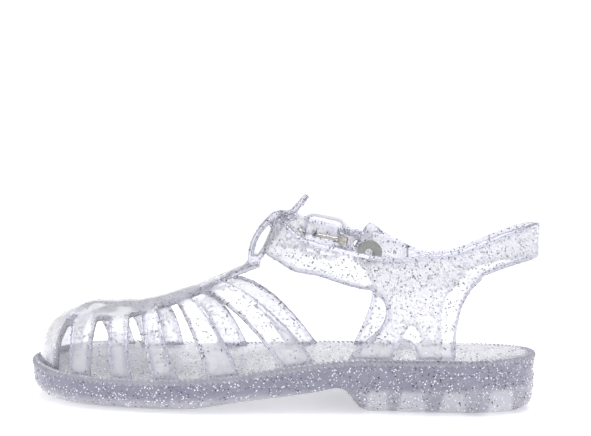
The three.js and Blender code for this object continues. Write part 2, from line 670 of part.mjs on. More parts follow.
function makeQuarter(side) {
  const edge = side < 0 ? MEDIAL_FRONT : LATERAL_FRONT;
  const front = (high) => between(edge, "high", "at", high);
  const rear = (high) => between(QUARTER_REAR, "high", "at", high);
  const root = (rimHigh(0.73, side) - 1 - FOOTING) / INSTEP;
  const shift = side < 0 ? 0 : WINDOW.lateral;
  const open = (high, corner, apexAt) => {
    const t = THREE.MathUtils.clamp((high - WINDOW.foot) / (WINDOW.apex - WINDOW.foot), 0, 1);
    return corner + (apexAt - corner) * t ** 1.6 + shift;
  };
  const mid = (WINDOW.front + WINDOW.rear) / 2;
  const windowFront = (high) => open(high, WINDOW.front, mid - 0.004);
  const windowRear = (high) => open(high, WINDOW.rear, mid + 0.004);
  const legs = [root, WINDOW.foot, 0.37, 0.41, 0.45, 0.48, WINDOW.apex];
  const body = [WINDOW.apex - 0.012, 0.52, 0.56, 0.6, 0.64, 0.68, 0.72, 0.76, 0.8, 0.84, 0.88, 0.905];
  return [
    patch(side, legs, front, windowFront, 4),
    patch(side, legs, windowRear, rear, 4),
    patch(side, body, front, rear, 8),
  ];
}

// The band's inner face at a row of BAND: point, way along the strap, way up across it and outwards
function onBand(row, height, off) {
  const place = (k) => {
    const a = bandLow.getPoint(k / (BAND.length - 1));
    const b = bandHigh.getPoint(k / (BAND.length - 1));
    b.x += bandLean(a.x);
    return [a.clone().lerp(b, height), b.sub(a).normalize()];
  };
  const [here, up] = place(row);
  const along = place(row + 0.2)[0].sub(place(row - 0.2)[0]).normalize();
  const out = along.clone().cross(up).normalize();
  if (out.dot(here.clone().sub(bandHeart(here))) < 0) out.negate();
  const across = out.clone().cross(along).normalize();
  if (across.z < 0) across.negate();
  return { point: here.addScaledVector(out, off), along, across, out };
}

function axesAt(origin, x, y) {
  const a = x.clone().normalize();
  const c = a.clone().cross(y).normalize();
  const b = c.clone().cross(a);
  return new THREE.Matrix4().makeBasis(a, b, c).setPosition(origin);
}

// A disc or ring of the given radii, its axis along Z from z0 to z1
function ringBar(outer, inner, z0, z1, sides) {
  const shape = new THREE.Shape();
  shape.absarc(0, 0, outer, 0, Math.PI * 2, false);
  if (inner > 0) {
    const hole = new THREE.Path();
    hole.absarc(0, 0, inner, 0, Math.PI * 2, true);
    shape.holes.push(hole);
  }
  const bar = new THREE.ExtrudeGeometry(shape, { depth: z1 - z0, bevelEnabled: false, curveSegments: sides });
  bar.translate(0, 0, z0);
  return bar;
}

function plateBar(x0, x1, y0, y1, z0, z1) {
  const box = new THREE.BoxGeometry(x1 - x0, y1 - y0, z1 - z0);
  box.translate((x0 + x1) / 2, (y0 + y1) / 2, (z0 + z1) / 2);
  return box;
}

function wireAlong(points, closed, wire, sides, segments) {
  const path = new THREE.CatmullRomCurve3(points, closed, "centripetal");
  const disc = new THREE.Shape();
  for (let i = 0; i < sides; i += 1) {
    const a = (i / sides) * Math.PI * 2;
    const [x, y] = [(Math.cos(a) * wire) / 2, (Math.sin(a) * wire) / 2];
    if (i === 0) disc.moveTo(x, y);
    else disc.lineTo(x, y);
  }
  disc.closePath();
  return fromGeometry(
    new THREE.ExtrudeGeometry(disc, { steps: segments, bevelEnabled: false, extrudePath: path }),
  );
}

// A closed round wire along points in the XY plane, moved to its place
function closedWire(path, radius, sides, at) {
  const points = [];
  const faces = [];
  const n = path.length;
  path.forEach((p, i) => {
    const way = path[(i + 1) % n].clone().sub(path[(i + n - 1) % n]).normalize();
    const side = new THREE.Vector3(way.y, -way.x, 0);
    for (let k = 0; k < sides; k += 1) {
      const a = (k / sides) * Math.PI * 2;
      const q = p.clone().addScaledVector(side, Math.cos(a) * radius);
      points.push(q.setZ(Math.sin(a) * radius).applyMatrix4(at));
      const [j, m] = [(i + 1) % n, (k + 1) % sides];
      faces.push([i * sides + k, j * sides + k, j * sides + m]);
      faces.push([i * sides + k, j * sides + m, i * sides + m]);
    }
  });
  return solid(points, faces);
}

const rear = onBand(REAR_BAR.row, 0.5, REAR_BAR.off);
const fore = onBand(FRONT_BAR.row, 0.5, FRONT_BAR.off);
const pinPoints = PIN_WAY.map((p) => onBand(p.row, 0.5, p.off).point);

// Moulded frame of the buckle: a rounded rectangle in the plane of its two bars
function makeFrame() {
  const way = fore.point.clone().sub(rear.point);
  const long = way.length();
  const place = axesAt(rear.point, way, rear.across);
  const half = FRAME_ACROSS / 2 + BAR / 2;
  const round = FRAME_CORNER;
  const points = [];
  const corner = (x, y, quarter) => {
    for (let i = 0; i <= 4; i += 1) {
      const a = ((quarter + i / 4) * Math.PI) / 2;
      points.push(new THREE.Vector3(x + round * Math.cos(a), y + round * Math.sin(a), 0));
    }
  };
  corner(long - round, half - round, 0);
  corner(round, half - round, 1);
  corner(round, round - half, 2);
  corner(long - round, round - half, 3);
  return closedWire(points, BAR / 2, 8, place);
}

// Curl of the pin round the rear bar, and the pin itself
function makeProng() {
  const place = axesAt(rear.point, rear.along, rear.out);
  const curl = ringBar(CURL.outer, CURL.inner, -CURL.half, CURL.half, 8).applyMatrix4(place);
  return fromGeometry(curl).add(wireAlong(pinPoints, false, PIN, 8, 18));
}

// Two lugs of the tab that hold the rear bar
function makeLugs() {
  const tab = onBand(LUG.row, LUG.high, BAND_WALL / 2);
  const place = axesAt(rear.point, tab.point.clone().sub(rear.point).projectOnPlane(rear.across), rear.out);
  return [-1, 1].map((side) => {
    const [z0, z1] = side < 0 ? [-LUG.to, -LUG.from] : [LUG.from, LUG.to];
    const eye = fromGeometry(ringBar(LUG.outer, 0, z0, z1, 8).applyMatrix4(place));
    const arm = plateBar(0.6, LUG.arm, -LUG.thick / 2, LUG.thick / 2, z0, z1).applyMatrix4(place);
    return eye.add(fromGeometry(arm));
  });
}

function rivetPlace() {
  const spot = onBand(RIVET.row, RIVET.high, 0);
  return axesAt(spot.point, spot.along, spot.across);
}

const place = rivetPlace();
const rivetAxis = new THREE.Vector3(0, 0, 1).transformDirection(place);
const outwards = rivetAxis.dot(onBand(RIVET.row, 0.5, 0).out) > 0 ? 1 : -1;
function rivetRing(outer, inner, from, to) {
  const [z0, z1] = outwards > 0 ? [from, to] : [-to, -from];
  return fromGeometry(ringBar(outer, inner, z0, z1, 10).applyMatrix4(place));
}

function makeRivet() {
  const gap = 0.05;
  return rivetRing(RIVET.radius, RIVET.hole, -RIVET.plate - gap, -gap)
    .add(rivetRing(RIVET.tube, RIVET.hole, -RIVET.plate, BAND_WALL + RIVET.plate))
    .add(rivetRing(RIVET.cap, RIVET.hole, BAND_WALL + gap, BAND_WALL + gap + RIVET.plate));
}

// Holes of the strap, the pin's clearance, the bore of the lugs and the rivet's seat
function upperCuts() {
  const cuts = STRAP_HOLES.rows.map((row) => {
    const spot = onBand(row, 0.5, 0);
    const at = axesAt(spot.point, spot.along, spot.across);
    const turned = new THREE.Vector3(0, 0, 1).transformDirection(at).dot(spot.out) > 0;
    const [z0, z1] = turned ? [-0.5, BAND_WALL + 0.6] : [-BAND_WALL - 0.6, 0.5];
    return fromGeometry(ringBar(STRAP_HOLES.radius, 0, z0, z1, 8).applyMatrix4(at));
  });
  const bar = axesAt(rear.point, rear.along, rear.out);
  cuts.push(fromGeometry(ringBar(LUG.inner, 0, -6, 6, 8).applyMatrix4(bar)));
  cuts.push(wireAlong(pinPoints, false, PIN + 0.6, 10, 22));
  cuts.push(rivetRing(RIVET.tube + 0.08, 0, -1, BAND_WALL + 0.8));
  cuts.push(rivetRing(RIVET.radius + 0.1, 0, -1.2, -0.02));
  cuts.push(rivetRing(RIVET.cap + 0.1, 0, BAND_WALL + 0.02, BAND_WALL + 0.9));
  return cuts;
}

const soleSolid = soleCuts()
  .reduce((a, b) => a.subtract(b), makeSole())
  .simplify(SLIVER);
const upperWhole = union([
  ...makeStraps(),
  makeToeBand(),
  spineStrip(PLATE, 0.09, 0.455, 18, 6, 2, () => -0.1),
  spineStrip(WEAVE, 0.1, 0.34, 18, 4, 1.9, (at) => between(WEAVE, "at", "lift", at)),
  ...makeTongueAndBridge(),
  makeBand(),
  ...makeQuarter(-1),
  ...makeQuarter(1),
  ...makeLugs(),
]).simplify(SLIVER * 2);
const upperSolid = upperCuts()
  .reduce((a, b) => a.subtract(b), upperWhole.subtract(soleSolid.translate([0, 0, SEAM])))
  .simplify(SLIVER / 4);

function meshOf(name, made, colour, roughness, metalness) {
  const mesh = made.getMesh();
  const geometry = new THREE.BufferGeometry();
  geometry.setAttribute("position", new THREE.BufferAttribute(new Float32Array(mesh.vertProperties), 3));
  geometry.setIndex(new THREE.BufferAttribute(new Uint32Array(mesh.triVerts), 1));
  geometry.translate(-ORIGIN * LENGTH, 0, 0);
  geometry.computeVertexNormals();
  const material = new THREE.MeshStandardMaterial({ color: colour, roughness, metalness });
  material.name = name;
  const object = new THREE.Mesh(geometry, material);
  object.name = name;
  return object;
}

const sandal = new THREE.Group();
sandal.add(meshOf("outsole", soleSolid, 0xd9d8e6, 0.3, 0));
sandal.add(meshOf("upper", upperSolid, 0xe3e2ee, 0.25, 0));
sandal.add(meshOf("buckle_frame", makeFrame(), 0xf2f2f4, 0.3, 0));
sandal.add(meshOf("buckle_prong", makeProng(), 0xb8b8bc, 0.3, 1));
sandal.add(meshOf("rivet", makeRivet(), 0x9a9b9e, 0.4, 1));
export default sandal;
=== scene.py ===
# %% [markdown]
# # A child's clear jelly sandal
# The real shoe is injection moulded from clear, faintly lavender PVC with silver glitter stirred in, so
# everything the eye reads is light: pale faces, darker lavender edges where it looks along the plastic,
# and flakes that go black against a bright ground and white against the deep sole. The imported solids
# give every place and size. This lesson pours the plastic over them, strews the glitter, and lights it.

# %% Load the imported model
import math

import bmesh
import bpy
import numpy as np
from mathutils import Matrix, Vector
from mathutils.bvhtree import BVHTree


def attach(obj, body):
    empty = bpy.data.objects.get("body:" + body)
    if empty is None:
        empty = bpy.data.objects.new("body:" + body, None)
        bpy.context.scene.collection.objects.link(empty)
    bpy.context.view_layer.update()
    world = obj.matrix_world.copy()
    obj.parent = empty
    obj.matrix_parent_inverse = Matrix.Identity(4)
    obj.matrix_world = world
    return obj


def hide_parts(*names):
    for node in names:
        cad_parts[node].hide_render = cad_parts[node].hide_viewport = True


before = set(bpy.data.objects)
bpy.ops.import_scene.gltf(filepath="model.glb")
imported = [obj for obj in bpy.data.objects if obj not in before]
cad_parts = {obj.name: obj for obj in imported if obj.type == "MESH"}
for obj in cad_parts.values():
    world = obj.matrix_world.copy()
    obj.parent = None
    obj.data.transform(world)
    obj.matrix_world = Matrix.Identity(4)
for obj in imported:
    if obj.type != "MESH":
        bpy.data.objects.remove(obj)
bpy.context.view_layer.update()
MM = 0.001
scene = bpy.context.scene
dice = np.random.default_rng(7)
print("packed nodes:", sorted(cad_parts))


# %% [markdown]
# ## Camera
# The photograph is a low product shot of the shoe's inner side, with the toe to the left. Its place was
# worked out from the outline of the sole and the straps, so the lens, the height and the small turn and
# roll are those of the photograph. A long lens keeps the far straps nearly as large as the near ones.

# %% Camera
CAMERA_AT = Vector((-24.71, -346.56, 66.25)) * MM
YAW, PITCH, ROLL = 0.0301, 0.0128, 0.0236
PHOTO_WIDE = 591
FOCAL_PIXELS = 1012.8
SENSOR = 36.0

ahead = Vector((-math.sin(YAW) * math.cos(PITCH), math.cos(YAW) * math.cos(PITCH), -math.sin(PITCH)))
level = Vector((math.cos(YAW), math.sin(YAW), 0))
rise = level.cross(ahead)
right = level * math.cos(ROLL) + rise * math.sin(ROLL)
top = rise * math.cos(ROLL) - level * math.sin(ROLL)
lens = bpy.data.cameras.new("product_camera")
lens.sensor_width = SENSOR
lens.lens = FOCAL_PIXELS / PHOTO_WIDE * SENSOR
lens.clip_start, lens.clip_end = 0.02, 30
camera = bpy.data.objects.new("product_camera", lens)
turn = Matrix((right, top, -ahead)).transposed().to_4x4()
camera.matrix_world = Matrix.Translation(CAMERA_AT) @ turn
scene.collection.objects.link(camera)
scene.camera = camera
print("lens", round(lens.lens, 1), "mm")


# %% [markdown]
# ## Small helpers
# Colours are written as a painter would pick them, in sRGB hex, and one function turns them to the
# linear values that Blender's shaders expect. One other function adds a node, its settings and links.

# %% Colour and node helpers
def ink(code):
    value = code.lstrip("#")
    srgb = [int(value[i:i + 2], 16) / 255 for i in (0, 2, 4)]
    return (*[c / 12.92 if c <= 0.04045 else ((c + 0.055) / 1.055) ** 2.4 for c in srgb], 1.0)


def add(tree, kind, settings=None, **inputs):
    node = tree.nodes.new(kind)
    for key, value in (settings or {}).items():
        setattr(node, key, value)
    for key, value in inputs.items():
        socket = node.inputs[int(key[1:])] if key[0] == "_" else node.inputs[key.replace("_", " ")]
        if isinstance(value, bpy.types.NodeSocket):
            tree.links.new(value, socket)
        else:
            socket.default_value = value
    return node


def material(name):
    made = bpy.data.materials.new(name)
    made.use_nodes = True
    made.node_tree.nodes.clear()
    tree = made.node_tree
    shader = add(tree, "ShaderNodeBsdfPrincipled")
    out = add(tree, "ShaderNodeOutputMaterial", Surface=shader.outputs[0])
    return made, tree, shader, out


# %% [markdown]
# ## Skin of the moulding
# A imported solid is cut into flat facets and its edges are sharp, but soft PVC comes out of a polished
# mould with edges rounded by about half a millimetre and faces without a crease. A copy of the solid is
# wrapped in a fine even mesh, its edges are rounded by a few passes of smoothing, and then only the
# broad faces, which are found by how little their normals turn, are smoothed until no facet is left.

# %% Smoothing helpers
CREASE_FROM, CREASE_TO = 12, 26  # degrees between neighbouring normals: flat below, kept above
# EDGE_FROM and EDGE_TO also set where the painted edge shade of the upper starts and is full.
EDGE_FROM, EDGE_TO = 7, 17  # the same after polishing, where the tint of an edge starts and is full


def neighbours(mesh):
    pairs = np.empty(len(mesh.edges) * 2, np.int32)
    mesh.edges.foreach_get("vertices", pairs)
    pairs = pairs.reshape(-1, 2)
    both = np.concatenate([pairs, pairs[:, ::-1]])
    count = np.bincount(both[:, 0], minlength=len(mesh.vertices))
    return both, np.maximum(count, 1)


def places(mesh):
    out = np.empty(len(mesh.vertices) * 3)
    mesh.vertices.foreach_get("co", out)
    return out.reshape(-1, 3)


def normals(mesh):
    out = np.empty(len(mesh.vertices) * 3, np.float32)
    mesh.vertex_normals.foreach_get("vector", out)
    return out.reshape(-1, 3)


def relax(points, both, count, weight, passes):
    for _ in range(passes):
        mean = np.stack([np.bincount(both[:, 0], points[both[:, 1], k], len(points)) for k in range(3)], 1)
        points = points + (mean / count[:, None] - points) * weight[:, None]
    return points


def flat_share(mesh, both):
    turn_of = normals(mesh)
    along = np.einsum("ij,ij->i", turn_of[both[:, 0]], turn_of[both[:, 1]])
    least = np.ones(len(mesh.vertices))
    np.minimum.at(least, both[:, 0], along)
    for _ in range(2):
        spread = least.copy()
        np.minimum.at(spread, both[:, 0], least[both[:, 1]])
        least = spread
    angle = np.degrees(np.arccos(np.clip(least, -1, 1)))
    t = np.clip((CREASE_TO - angle) / (CREASE_TO - CREASE_FROM), 0, 1)
    return t * t * (3 - 2 * t)


def edge_share(mesh, both, count):
    turn_of = normals(mesh)
    along = np.einsum("ij,ij->i", turn_of[both[:, 0]], turn_of[both[:, 1]])
    least = np.ones(len(mesh.vertices))
    np.minimum.at(least, both[:, 0], along)
    angle = np.degrees(np.arccos(np.clip(least, -1, 1)))
    t = np.clip((angle - EDGE_FROM) / (EDGE_TO - EDGE_FROM), 0, 1)
    wide = t.copy()
    np.maximum.at(wide, both[:, 0], t[both[:, 1]])
    for _ in range(3):
        wide = 0.5 * wide + 0.5 * np.bincount(both[:, 0], wide[both[:, 1]], len(wide)) / count
    return wide


def moulded(node, name, cell, rounding, polish):
    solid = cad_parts[node]
    mesh = solid.data.copy()
    mesh.materials.clear()
    shell = bmesh.new()
    shell.from_mesh(mesh)
    bmesh.ops.remove_doubles(shell, verts=shell.verts, dist=0.002 * MM)
    shell.to_mesh(mesh)
    shell.free()
    rough = bpy.data.objects.new(name + "_rough", mesh)
    scene.collection.objects.link(rough)
    wrap = rough.modifiers.new("wrap", "REMESH")
    wrap.mode, wrap.voxel_size = "VOXEL", cell * MM
    fine = bpy.data.meshes.new_from_object(rough.evaluated_get(bpy.context.evaluated_depsgraph_get()))
    bpy.data.objects.remove(rough)
    both, count = neighbours(fine)
    whole = np.full(len(fine.vertices), 0.5)
    fine.vertices.foreach_set("co", relax(places(fine), both, count, whole, rounding).ravel())
    fine.update()
    calm = flat_share(fine, both) * 0.6
    fine.vertices.foreach_set("co", relax(places(fine), both, count, calm, polish).ravel())
    fine.shade_smooth()
    fine.update()
    edge = fine.attributes.new("edge", "FLOAT", "POINT")
    edge.data.foreach_set("value", edge_share(fine, both, count).astype(np.float32))
    piece = bpy.data.objects.new(name, fine)
    scene.collection.objects.link(piece)
    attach(piece, "root")
    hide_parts(node)
    print(name, len(fine.polygons) * 2, "triangles")
    return piece


# %% Upper and sole
upper = moulded("upper", "upper_moulding", 0.56, 5, 60)
sole = moulded("outsole", "sole_moulding", 0.66, 2, 40)


# %% [markdown]
# ## Buckle and eyelet
# The buckle's frame is a small white moulding with rounded bars, and the pin and the eyelet are metal.
# They get the same fine skin at a finer step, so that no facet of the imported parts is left.

# %% Buckle and eyelet
buckle = moulded("buckle_frame", "buckle_moulding", 0.24, 4, 30)
prong = moulded("buckle_prong", "buckle_pin", 0.17, 3, 30)
eyelet = moulded("rivet", "steel_eyelet", 0.15, 2, 12)


# %% [markdown]
# ## Where the rim runs
# The colour of the sole and the rope round its edge both follow the rim. Level rays from outside find
# it: the highest ray that still strikes the edge marks the rim's height, and the strike its place.

# %% Rim
HEART = Vector((-45, 0, 0)) * MM
BEAD_DROP, BEAD_INSET = 1.15, 1.05
RIM_RAYS, RAY_REACH = 720, 0.2
RAY_TOP, RAY_END, RAY_STEP = 26, 6, 0.2
EDGE_WIDE = 1.5
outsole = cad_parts["outsole"].data
tree_of_sole = BVHTree.FromPolygons(
    [v.co.copy() for v in outsole.vertices], [tuple(p.vertices) for p in outsole.polygons]
)
rim = []
for turn_at in np.linspace(0, math.tau, RIM_RAYS, endpoint=False):
    way = Vector((math.cos(turn_at), math.sin(turn_at), 0))
    reach = []
    for high in np.arange(RAY_TOP, RAY_END, -RAY_STEP):
        start = HEART + way * RAY_REACH + Vector((0, 0, high * MM))
        strike = tree_of_sole.ray_cast(start, -way)[0]
        reach.append(0 if strike is None else (strike.xy - HEART.xy).dot(way.xy))
    widest = max(reach)
    first = next(i for i, r in enumerate(reach) if r > widest - EDGE_WIDE * MM)
    level_at = min(first + round(BEAD_DROP / RAY_STEP), len(reach) - 1)
    spot = HEART + way * reach[level_at]
    rim.append((spot.x, spot.y, (RAY_TOP - RAY_STEP * first) * MM))
rim = np.array(rim)
for _ in range(4):
    rim = (np.roll(rim, 1, 0) + 2 * rim + np.roll(rim, -1, 0)) / 4
print("rim from", rim.min(0).round(4), "to", rim.max(0).round(4))


# %% [markdown]
# ## Rope round the rim
# A bead like a twisted cord, about 2.3 mm thick, lies round the footbed. Its strands cross it at a slant
# every 1.5 mm. A circle is swept along the rim, and its radius swells where a strand passes.

# %% Rope
CORD_RADIUS, STRAND_SWELL, STRAND_PITCH = 0.96, 0.42, 1.7
STEPS_A_STRAND, CORD_SIDES = 6, 14
ring = np.vstack([rim, rim[:1]])
run = np.concatenate([[0], np.cumsum(np.linalg.norm(np.diff(ring, axis=0), axis=1))])
strands = round(run[-1] / (STRAND_PITCH * MM))
stops_at = np.linspace(0, run[-1], strands * STEPS_A_STRAND, endpoint=False)
line = np.stack([np.interp(stops_at, run, ring[:, k]) for k in range(3)], 1)
for _ in range(6):
    line = (np.roll(line, 1, 0) + line + np.roll(line, -1, 0)) / 3
ahead_of = np.roll(line, -1, 0) - np.roll(line, 1, 0)
ahead_of /= np.linalg.norm(ahead_of, axis=1)[:, None]
outward_of = np.stack([ahead_of[:, 1], -ahead_of[:, 0], np.zeros(len(line))], 1)
outward_of /= np.linalg.norm(outward_of, axis=1)[:, None]
upward_of = np.cross(outward_of, ahead_of)
core = line - outward_of * BEAD_INSET * MM
core[:, 2] -= BEAD_DROP * MM
cord = bmesh.new()
rings = []
for i in range(len(core)):
    loop = []
    for k in range(CORD_SIDES):
        a = k / CORD_SIDES * math.tau
        wave = 0.5 + 0.5 * math.cos(math.tau * i / STEPS_A_STRAND + 2 * a)
        radius = (CORD_RADIUS + STRAND_SWELL * wave) * MM
        spoke = outward_of[i] * math.cos(a) + upward_of[i] * math.sin(a)
        loop.append(cord.verts.new(core[i] + spoke * radius))
    rings.append(loop)
for i, loop in enumerate(rings):
    after = rings[(i + 1) % len(rings)]
    for k in range(CORD_SIDES):
        m = (k + 1) % CORD_SIDES
        cord.faces.new((loop[k], loop[m], after[m], after[k]))
bmesh.ops.recalc_face_normals(cord, faces=cord.faces)
cord_mesh = bpy.data.meshes.new("rim_cord")
cord.to_mesh(cord_mesh)
cord.free()
cord_mesh.shade_smooth()
rope = bpy.data.objects.new("rim_cord", cord_mesh)
scene.collection.objects.link(rope)
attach(rope, "root")
print("rope", strands, "strands,", len(cord_mesh.polygons) * 2, "triangles")


# %% [markdown]
# ## Painted light and shade of the sole
# The side of the sole is painted with a dark lavender band of shade under the rope, with painted light
# below it where the light comes through: a pale toe, and under the heel four pale panes, which are the
# hollow cells, between darker ribs of painted shade. The footbed, which faces up, is painted pale as if
# lit from above. A number from 0 (dark) to 1 (pale) is kept at every point of the sole for the material.

# %% Painted light and shade of the sole
PANES = ((-6.9, 3.2), (4.2, 3.9), (17.4, 3.7), (33.2, 4.1))  # middle along the sole and half width, mm
HEEL_FROM = -18.0
spots = places(sole.data)
faces_up = normals(sole.data)[:, 2]
order = np.argsort(rim[:, 0])
near_rim = rim[order][rim[order][:, 1] < 0]
far_rim = rim[order][rim[order][:, 1] >= 0]
rim_at = np.where(
    spots[:, 1] < 0,
    np.interp(spots[:, 0], near_rim[:, 0], near_rim[:, 2]),
    np.interp(spots[:, 0], far_rim[:, 0], far_rim[:, 2]),
)


def ease(value, low, high):
    t = np.clip((value - low) / (high - low), 0, 1)
    return t * t * (3 - 2 * t)


along = spots[:, 0] / MM
depth = (rim_at - spots[:, 2]) / MM
# Painted shade: a dark band under the rim. Painted light: paler below it and at the toe.
band_end = 6.6 + 3.4 * ease(along, -60, -10)
painted_light_share = 0.1 + 0.45 * ease(depth, band_end - 1.4, band_end + 1.6)
painted_light_share += 0.25 * (1 - ease(along, -112, -96)) * ease(depth, 7, 9)
# Painted light and shade under the heel: pale panes at the hollow cells, darker ribs between.
under = ease(along, HEEL_FROM - 2, HEEL_FROM + 2) * ease(depth, band_end - 1.2, band_end + 1.4)
pane = np.zeros(len(spots))
for middle, half in PANES:
    lean = half - 0.18 * np.clip(spots[:, 2] / MM, 0, 9) + 0.6
    pane = np.maximum(pane, 1 - ease(np.abs(along - middle), lean - 0.9, lean + 1.1))
painted_light_share = painted_light_share * (1 - under) + (0.38 + 0.34 * pane) * under
# Painted light: faces that turn up, the footbed, are made fully pale.
painted_top_light = ease(faces_up, 0.55, 0.85)
painted_light_share = painted_light_share * (1 - painted_top_light) + 1.0 * painted_top_light
tone = sole.data.attributes.new("tone", "FLOAT", "POINT")
tone.data.foreach_set("value", painted_light_share.astype(np.float32))


# %% [markdown]
# ## Glitter
# The flakes are little hexagons of silvered film, about 0.4 mm across, stirred into the melt. They lie
# just under the skin, roughly along it because the melt drags them flat, with a random tilt. Each one is
# a six-cornered face, and a few thousand of them are joined in one mesh for the upper and one for the
# sole. A number is kept with each flake, so that the material can paint some with a white glint and some
# with dark shade. Low in the upper, in front of the sole, more of them get the painted glint.
# In the deep sole only the flakes at the skin can be told apart, so those are the ones that are laid.

# %% Glitter
# Share of low flakes in the upper that get the painted white glint.
PAINTED_GLINT_LOW = 0.6


def strew(host, name, per_square_mm, width, depth, tilt, painted_glint_below=0, keep=None):
    mesh = host.data
    mesh.calc_loop_triangles()
    corners = np.empty(len(mesh.loop_triangles) * 3, np.int32)
    mesh.loop_triangles.foreach_get("vertices", corners)
    corners = corners.reshape(-1, 3)
    points = places(mesh)
    a, b, c = (points[corners[:, i]] for i in range(3))
    cross = np.cross(b - a, c - a)
    area = np.linalg.norm(cross, axis=1) / 2
    number = int(area.sum() / MM ** 2 * per_square_mm)
    pick = dice.choice(len(area), number, p=area / area.sum())
    u, v = dice.random((2, number))
    turn_back = u + v > 1
    u[turn_back], v[turn_back] = 1 - u[turn_back], 1 - v[turn_back]
    spot = a[pick] + (b - a)[pick] * u[:, None] + (c - a)[pick] * v[:, None]
    out = cross[pick] / (2 * area[pick])[:, None]
    spot = spot - out * (dice.uniform(*depth, number) * MM)[:, None]
    if keep is not None:
        chosen = keep(spot, out)
        spot, out = spot[chosen], out[chosen]
    flakes = bmesh.new()
    lot = flakes.faces.layers.float.new("lot")
    for place, outward in zip(spot, out):
        axis = Vector(outward)
        axis = (axis + Vector(dice.normal(0, tilt, 3))).normalized()
        side = axis.orthogonal().normalized()
        side.rotate(Matrix.Rotation(dice.uniform(0, math.tau), 3, axis))
        other = axis.cross(side)
        radius = dice.uniform(*width) / 2 * MM
        ring = []
        for k in range(6):
            spoke = side * math.cos(k * math.pi / 3) + other * math.sin(k * math.pi / 3)
            ring.append(flakes.verts.new(Vector(place) + spoke * radius))
        chance = dice.random()
        # Painted glint: low flakes in the upper are more often made white.
        low = place[2] < painted_glint_below * MM
        flakes.faces.new(ring)[lot] = 1 if low and dice.random() < PAINTED_GLINT_LOW else chance
    made = bpy.data.meshes.new(name)
    flakes.to_mesh(made)
    flakes.free()
    piece = bpy.data.objects.new(name, made)
    scene.collection.objects.link(piece)
    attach(piece, "root")
    print(name, len(spot), "flakes")
    return piece


def side_of_sole(spot, out):
    share = np.where(out[:, 2] > 0.7, 0.6, 1.0)
    return (out[:, 2] > -0.8) & (dice.random(len(spot)) < share)


upper_glitter = strew(upper, "upper_glitter", 0.32, (0.4, 0.64), (-0.04, 0.25), 0.3, painted_glint_below=21)
sole_glitter = strew(
    sole,
    "sole_glitter",
    1.2,
    (0.36, 0.66),
    (-0.05, 0.06),
    0.3,
    keep=side_of_sole,
)


# %% [markdown]
# ## Clear PVC
# Moulded soft PVC: IOR about 1.53, glossy, with a faint lavender toner. The colour sits in the volume,
# so a thin face stays nearly clear and an edge, seen along the plastic, turns lavender. Along the edges
# of the straps light is also led through the wall and loses more on its way, and that shade is painted:
# the number kept where the skin bends sharply tints a painted shade band about 1.5 mm wide there.

# %% Upper material
def pvc_bump(tree, coordinates, size_mm, height_mm):
    ripple = add(tree, "ShaderNodeTexNoise", Vector=coordinates, Scale=1 / (size_mm * MM), Detail=2.0)
    return add(tree, "ShaderNodeBump", Height=ripple.outputs["Fac"], Strength=1.0, Distance=height_mm * MM)


clear_pvc, tree, shader, out = material("clear_pvc_moulded_glossy")
where = add(tree, "ShaderNodeTexCoord").outputs["Object"]
edge = add(tree, "ShaderNodeAttribute", {"attribute_name": "edge"}).outputs["Fac"]
# Painted shade: the edge number turns the base colour lavender grey along sharp bends.
painted_edge_shade = add(tree, "ShaderNodeValToRGB", Fac=edge)
painted_edge_shade.color_ramp.elements[0].position, painted_edge_shade.color_ramp.elements[0].color = 0.05, ink("#FEFEFF")
painted_edge_shade.color_ramp.elements[1].position, painted_edge_shade.color_ramp.elements[1].color = 0.75, ink("#E4E4EC")
tree.links.new(painted_edge_shade.outputs[0], shader.inputs["Base Color"])
shader.inputs["Roughness"].default_value = 0.06
shader.inputs["IOR"].default_value = 1.45
shader.inputs["Transmission Weight"].default_value = 0.72
tree.links.new(pvc_bump(tree, where, 3.5, 0.05).outputs[0], shader.inputs["Normal"])
absorb = add(tree, "ShaderNodeVolumeAbsorption", Color=ink("#9A9AC8"), Density=6.0)
tree.links.new(absorb.outputs[0], out.inputs["Volume"])
upper.data.materials.append(clear_pvc)

# %% [markdown]
# ## The deep plastic of the sole
# The same plastic a centimetre or more thick: milky with scattered light, so the kept shade is read
# through a ramp of lavender greys. The footbed is pebbled like crushed ice, at about 1.5 mm.

# %% Sole material
def deep_pvc(name, shades, clear, gloss, size_mm, height_mm):
    made, tree, shader, out = material(name)
    where = add(tree, "ShaderNodeTexCoord").outputs["Object"]
    shade = add(tree, "ShaderNodeAttribute", {"attribute_name": "tone"}).outputs["Fac"]
    cloud = add(tree, "ShaderNodeTexNoise", Vector=where, Scale=1 / (5.0 * MM), Detail=3.0).outputs["Fac"]
    cloudy = add(tree, "ShaderNodeMath", {"operation": "MULTIPLY_ADD"}, _0=cloud, _1=0.3, _2=shade)
    level = add(tree, "ShaderNodeMath", {"operation": "SUBTRACT"}, _0=cloudy.outputs[0], _1=0.15)
    ramp = add(tree, "ShaderNodeValToRGB", Fac=level.outputs[0])
    stops = ramp.color_ramp
    stops.elements[0].position, stops.elements[0].color = shades[0][0], ink(shades[0][1])
    stops.elements[1].position, stops.elements[1].color = shades[-1][0], ink(shades[-1][1])
    for position, colour in shades[1:-1]:
        stops.elements.new(position).color = ink(colour)
    tree.links.new(ramp.outputs[0], shader.inputs["Base Color"])
    shader.inputs["Roughness"].default_value = gloss
    shader.inputs["IOR"].default_value = 1.45
    shader.inputs["Transmission Weight"].default_value = clear
    tree.links.new(pvc_bump(tree, where, size_mm, height_mm).outputs[0], shader.inputs["Normal"])
    return made


